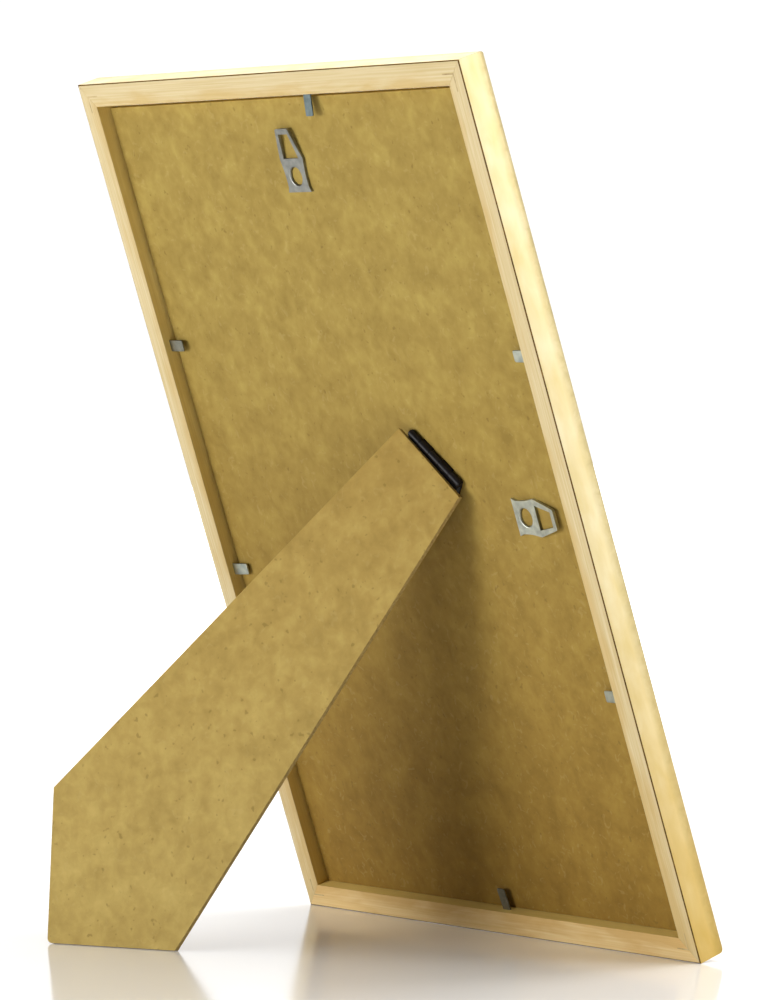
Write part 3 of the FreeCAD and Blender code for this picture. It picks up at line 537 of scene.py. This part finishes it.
halfWidth = frameWidth / 2
halfHeight = frameHeight / 2
railPlaces = [
    # node, middle of the outer back edge, way along it, way inwards, length
    ("rail_top", Vector((0, 0, frameHeight)), Vector((1, 0, 0)), Vector((0, 0, -1)), frameWidth),
    ("rail_bottom", Vector((0, 0, 0)), Vector((-1, 0, 0)), Vector((0, 0, 1)), frameWidth),
    ("rail_left", Vector((halfWidth, 0, halfHeight)), Vector((0, 0, -1)), Vector((-1, 0, 0)), frameHeight),
    ("rail_right", Vector((-halfWidth, 0, halfHeight)), Vector((0, 0, 1)), Vector((1, 0, 0)), frameHeight),
]
for nodeName, middle, runWay, inWay, length in railPlaces:
    makeRail(nodeName, middle, runWay, inWay, length)
print("stage: rails swept")

# Finer copies of the solids: the same shape with small worn arrises. Turns are in degrees
copyFacts = {"weld": 0.002, "flatTurn": 0.8, "edgeTurn": 35, "sharpTurn": 40, "arrisSteps": 2}


def bevelEdges(work, edges, offset, segments):
    bmesh.ops.bevel(work, geom=edges, offset=offset * mm, segments=segments, profile=0.5, affect="EDGES",
                    clamp_overlap=True)


def finerCopy(nodeName, pieceName, arris, materials, edgeFinish=None, first=None):
    facts = copyFacts
    work = bmesh.new()
    work.from_mesh(nodes[nodeName].data)
    bmesh.ops.remove_doubles(work, verts=work.verts, dist=facts["weld"] * mm)
    bmesh.ops.dissolve_limit(work, angle_limit=math.radians(facts["flatTurn"]), verts=work.verts,
                             edges=work.edges)
    if first:
        first(work)
    turned = [edge for edge in work.edges
              if len(edge.link_faces) == 2 and edge.calc_face_angle(0) > math.radians(facts["edgeTurn"])]
    bevelEdges(work, turned, arris, facts["arrisSteps"])
    if edgeFinish:
        for face in work.faces:
            face.material_index = edgeFinish(face)
    mesh = bpy.data.meshes.new(pieceName)
    work.to_mesh(mesh)
    work.free()
    smoothShaded(mesh, facts["sharpTurn"])
    for material in materials:
        mesh.materials.append(material)
    piece = addObject(pieceName, mesh)
    level = piece.modifiers.new("evenShading", "WEIGHTED_NORMAL")
    level.keep_sharp = True
    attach(piece, nodes[nodeName]["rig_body"])
    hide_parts(nodeName)
    return piece


# Hangers. Levels are measured from the prongs' ends towards the viewer of the back
hangerFacts = {"arris": 0.12, "dish": 0.6, "dishSteps": 4, "hole": 3.2, "holeSlack": 0.15, "burrEnd": 0.6,
               "burrSlack": 0.15, "baseTop": 3.0, "baseSlack": 0.1}


def dishedHole(work):
    # The rim of the hole is drawn down by the punch that left the burr
    facts = hangerFacts
    level = {vertex: vertex.co.dot(outWay) / mm for vertex in work.verts}
    prongEnd = min(level.values())
    burr = [vertex.co for vertex in work.verts
            if abs(level[vertex] - prongEnd - facts["burrEnd"]) < facts["burrSlack"]]
    centre = sum(burr, Vector()) / len(burr)
    rim = []
    for edge in work.edges:
        if max(abs(level[vertex] - prongEnd - facts["baseTop"]) for vertex in edge.verts) > facts["baseSlack"]:
            continue
        spans = [vertex.co - centre for vertex in edge.verts]
        farthest = max((span - outWay * span.dot(outWay)).length for span in spans)
        if farthest < (facts["hole"] + facts["holeSlack"]) * mm:
            rim.append(edge)
    bevelEdges(work, rim, facts["dish"], facts["dishSteps"])


for nodeName, steel in (("hanger_top", upperHangerShadeSteel), ("hanger_side", sideHangerLitSteel)):
    hanger = finerCopy(nodeName, nodeName + "_stamping", hangerFacts["arris"], [steel], first=dishedHole)

nailFacts = {"arris": 0.05}
for corner in ("upper_left", "upper_right", "lower_left", "lower_right"):
    nailName = "corner_nail_" + corner
    nail = finerCopy(nailName, nailName + "_strip", nailFacts["arris"], [nailWax])

hingeFacts = {"arris": 0.08}
for nodeName in ("hinge_board_leaf", "hinge_strut_leaf", "hinge_pin"):
    leaf = finerCopy(nodeName, nodeName + "_lacquered", hingeFacts["arris"], [hingeLacquer])

# Strut: pressed faces, sawn edges. A face whose normal keeps this share of the sheet's own is pressed
strutFacts = {"arris": 0.12, "faceShare": 0.9}
strutNormal = max(nodes["strut"].data.polygons, key=lambda polygon: polygon.area).normal.copy()


def strutFinish(face):
    return 0 if abs(face.normal.dot(strutNormal)) > strutFacts["faceShare"] else 1


strut = finerCopy("strut", "strut_hardboard", strutFacts["arris"], [strutHardboard, sawnHardboard],
                  edgeFinish=strutFinish)
print("stage: steel and strut refined")

# Tabs: one soft steel strip each, from its point in the wood to its sheared tip, bent by hand at the wood
tabFacts = {"width": 4.2, "length": 8.0, "thickness": 0.5, "corner": 0.6, "edge": 0.12, "root": 5.5,
            "point": 1.6, "pointHalf": 0.3, "rootStations": (-1.5, -0.6), "bendStart": -0.1, "bendEnd": 0.8,
            "bendSteps": 6, "straightStart": 1.6, "straightStep": 0.9, "straightCount": 6, "cornerSteps": 4}


def tabOutline():
    # (distance from the wood, half width), from the point of the root to the tip
    facts = tabFacts
    half = facts["width"] / 2
    bend = facts["bendEnd"] - facts["bendStart"]
    stations = [(-facts["root"], facts["pointHalf"]), (-(facts["root"] - facts["point"]), half)]
    stations += [(place, half) for place in facts["rootStations"]]
    stations += [(facts["bendStart"] + bend * step / facts["bendSteps"], half)
                 for step in range(facts["bendSteps"] + 1)]
    stations += [(facts["straightStart"] + facts["straightStep"] * step, half)
                 for step in range(facts["straightCount"])]
    for step in range(1, facts["cornerSteps"] + 1):
        turn = math.radians(90) * step / facts["cornerSteps"]
        stations.append((facts["length"] - facts["corner"] * (1 - math.sin(turn)),
                         half - facts["corner"] * (1 - math.cos(turn))))
    return stations


def stripSection(half):
    # (share of the half width, depth below the upper face) round the strip, with its long edges eased
    edge, thick = tabFacts["edge"], tabFacts["thickness"]
    eased = 1 - edge / half
    return [(-1, edge), (-eased, 0), (eased, 0), (1, edge),
            (1, thick - edge), (eased, thick), (-eased, thick), (-1, thick - edge)]


def tabAngle(tabName, at, awayWay):
    # Angle at which the solid's tongue stands off the board, from its farthest corner
    corners = [vertex.co - at for vertex in nodes[tabName].data.vertices]
    farthest = max(corners, key=lambda corner: Vector((corner.dot(awayWay), corner.dot(outWay))).length)
    seen = math.atan2(farthest.dot(outWay), farthest.dot(awayWay))
    return seen + math.atan2(tabFacts["thickness"], tabFacts["length"])


def bentPlace(distance, angle):
    # Where a point of the strip comes to lie, and the slope there: level, then a short bend, then straight
    start, end = tabFacts["bendStart"], tabFacts["bendEnd"]
    if distance <= start:
        return distance, 0.0, 0.0
    share = min(1.0, (distance - start) / (end - start))
    slope = angle * share
    bent = min(distance, end) - start
    away = start + bent * (1 - slope ** 2 / 6)
    level = bent * slope / 2
    if distance > end:
        away += (distance - end) * math.cos(angle)
        level += (distance - end) * math.sin(angle)
    return away, level, slope


def makeTab(tabName, steel):
    joint = jointOf[tabName + "_bend"]
    at = Vector(joint["pos_m"])
    axis = Vector(joint["axis"]).normalized()
    awayWay = -axis.cross(outWay)
    angle = tabAngle(tabName, at, awayWay)
    work = bmesh.new()
    rings = []
    for distance, half in tabOutline():
        away, level, slope = bentPlace(distance, angle)
        ring = []
        for side, under in stripSection(half):
            spot = at + axis * (side * half * mm) + awayWay * ((away + under * math.sin(slope)) * mm)
            ring.append(work.verts.new(spot + outWay * ((level - under * math.cos(slope)) * mm)))
        rings.append(ring)
    for first, second in zip(rings, rings[1:]):
        for index in range(len(first)):
            following = (index + 1) % len(first)
            work.faces.new([first[index], first[following], second[following], second[index]])
    work.faces.new(rings[0])
    work.faces.new(rings[-1])
    bmesh.ops.recalc_face_normals(work, faces=work.faces)
    mesh = bpy.data.meshes.new(tabName + "_strip")
    work.to_mesh(mesh)
    work.free()
    smoothShaded(mesh, copyFacts["sharpTurn"])
    mesh.materials.append(steel)
    tab = addObject(tabName + "_strip", mesh)
    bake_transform(tab)
    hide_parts(tabName, tabName + "_root")


# The darker copies paint shade on the top, bottom and upper left tabs
tabSteels = [("tab_top", deepShadeTabSteel), ("tab_bottom", shadeTabSteel), ("tab_left_upper", shadeTabSteel),
             ("tab_left_lower", tabSteel), ("tab_right_upper", tabSteel), ("tab_right_lower", tabSteel)]
for tabName, steel in tabSteels:
    makeTab(tabName, steel)
print("stage: tabs bent")

# Studio floor: a sheet of white acrylic whose surface glows, painted light with no lamp behind it, brightest on
# the side away from the camera and all round at a distance
farSide = (0.35, -0.94, 0.0)
floorFacts = {"halfSpan": 3.0, "tone": "#f6f4f0", "roughness": 0.13, "ior": 1.35, "glowFrom": 0.25,
              "glowTo": 1.1, "glow": (0.05, 1.0), "ringFrom": 1.1, "ringTo": 2.0}


def makeFloor():
    facts = floorFacts
    edge = facts["halfSpan"]
    mesh = bpy.data.meshes.new("studio_floor")
    mesh.from_pydata([(-edge, -edge, 0), (edge, -edge, 0), (edge, edge, 0), (-edge, edge, 0)], [],
                     [(0, 1, 2, 3)])
    material, tree, shader = newMaterial("floor_acrylic_white")
    place = addNode(tree, "ShaderNodeTexCoord").outputs["Object"]
    behind = addNode(tree, "ShaderNodeVectorMath", {0: place, 1: farSide}, operation="DOT_PRODUCT")
    # Painted light: the floor's own glow, strongest away from the camera and far out
    glow = addNode(tree, "ShaderNodeMapRange", {
        "Value": behind.outputs["Value"], "From Min": facts["glowFrom"], "From Max": facts["glowTo"],
        "To Min": facts["glow"][0], "To Max": facts["glow"][1]}, interpolation_type="SMOOTHSTEP")
    away = addNode(tree, "ShaderNodeVectorMath", {0: place}, operation="LENGTH")
    allRound = addNode(tree, "ShaderNodeMapRange", {
        "Value": away.outputs["Value"], "From Min": facts["ringFrom"], "From Max": facts["ringTo"]},
        interpolation_type="SMOOTHSTEP")
    lit = addNode(tree, "ShaderNodeMath", {0: glow.outputs[0], 1: allRound.outputs[0]}, operation="MAXIMUM")
    setSockets(tree, shader, {"Base Color": hexLinear(facts["tone"]), "Roughness": facts["roughness"],
                              "IOR": facts["ior"], "Emission Color": hexLinear("#ffffff"),
                              "Emission Strength": lit.outputs[0]})
    mesh.materials.append(material)
    addObject("studio_floor", mesh)


# Room: gloss sees white paper on the far side and a dim room on the near one. Straight in front the paper has
# a gap, or the gilded front would burn out.
roomFacts = {"front": (0.0, -1.0, 0.0), "paperFrom": 0.05, "paperTo": 0.7, "paper": (0.1, 1.35),
             "gapFrom": 0.78, "gapTo": 0.93, "gap": (1.0, 0.45), "diffuse": 0.01, "backdrop": 1.05}


def makeRoom():
    facts = roomFacts
    world = bpy.data.worlds.new("studio_world")
    world.use_nodes = True
    bpy.context.scene.world = world
    tree = world.node_tree
    tree.nodes.clear()
    path = addNode(tree, "ShaderNodeLightPath")
    way = addNode(tree, "ShaderNodeTexCoord").outputs["Generated"]
    behind = addNode(tree, "ShaderNodeVectorMath", {0: way, 1: farSide}, operation="DOT_PRODUCT")
    paperGlow = addNode(tree, "ShaderNodeMapRange", {
        "Value": behind.outputs["Value"], "From Min": facts["paperFrom"], "From Max": facts["paperTo"],
        "To Min": facts["paper"][0], "To Max": facts["paper"][1]}, interpolation_type="SMOOTHSTEP")
    ahead = addNode(tree, "ShaderNodeVectorMath", {0: way, 1: facts["front"]}, operation="DOT_PRODUCT")
    gap = addNode(tree, "ShaderNodeMapRange", {
        "Value": ahead.outputs["Value"], "From Min": facts["gapFrom"], "From Max": facts["gapTo"],
        "To Min": facts["gap"][0], "To Max": facts["gap"][1]}, interpolation_type="SMOOTHSTEP")
    seen = addNode(tree, "ShaderNodeMath", {0: paperGlow.outputs[0], 1: gap.outputs[0]}, operation="MULTIPLY")
    glossOnly = addNode(tree, "ShaderNodeMix", {0: path.outputs["Is Glossy Ray"], 2: facts["diffuse"],
                                                3: seen.outputs[0]})
    strength = addNode(tree, "ShaderNodeMix", {0: path.outputs["Is Camera Ray"], 2: glossOnly.outputs[0],
                                               3: facts["backdrop"]})
    surround = addNode(tree, "ShaderNodeBackground", {"Color": hexLinear("#ffffff"),
                                                      "Strength": strength.outputs[0]})
    addNode(tree, "ShaderNodeOutputWorld", {"Surface": surround.outputs[0]})


lampFacts = {
    # name: place, aim, width and height, power in watts
    "key_wide_low": ((0.64, 1.58, 0.25), (0.0, 0.0, 0.15), (1.0, 0.46), 18.2),
    "top_bank": ((0.0, -0.25, 1.85), (0.0, 0.0, 0.15), (2.0, 2.0), 37.0),
    "front_fill": ((-0.3, -1.5, 1.9), (0.0, 0.0, 0.15), (1.2, 1.2), 18.0),
    "right_strip": ((-0.95, -0.45, 0.75), (-0.1, 0.0, 0.2), (0.6, 0.8), 5.5),
}


def makeLamps():
    for name, (place, aim, size, power) in lampFacts.items():
        data = bpy.data.lights.new(name, "AREA")
        data.shape = "RECTANGLE"
        data.size, data.size_y = size
        data.energy = power
        lamp = addObject(name, data)
        lamp.location = place
        lamp.rotation_euler = (Vector(aim) - Vector(place)).to_track_quat("-Z", "Y").to_euler()
        lamp.visible_camera = False


# Camera at the photo's own place; turn in degrees, lens and sensor in millimetres
cameraFacts = {"place": (-1.52440, 1.07257, 0.24653), "turn": (87.191, 1.342, -125.653), "lens": 195.04,
               "sensor": 36.0, "nearest": 0.05, "farthest": 20.0}


def makeCamera():
    data = bpy.data.cameras.new("photo_camera")
    data.sensor_fit = "VERTICAL"
    data.sensor_height = cameraFacts["sensor"]
    data.lens = cameraFacts["lens"]
    data.clip_start = cameraFacts["nearest"]
    data.clip_end = cameraFacts["farthest"]
    camera = addObject("photo_camera", data)
    camera.location = cameraFacts["place"]
    camera.rotation_euler = Euler([math.radians(angle) for angle in cameraFacts["turn"]])
    bpy.context.scene.camera = camera


bpy.context.scene.view_settings.view_transform = "Standard"
makeFloor()
makeRoom()
makeLamps()
makeCamera()
print("stage: studio set")
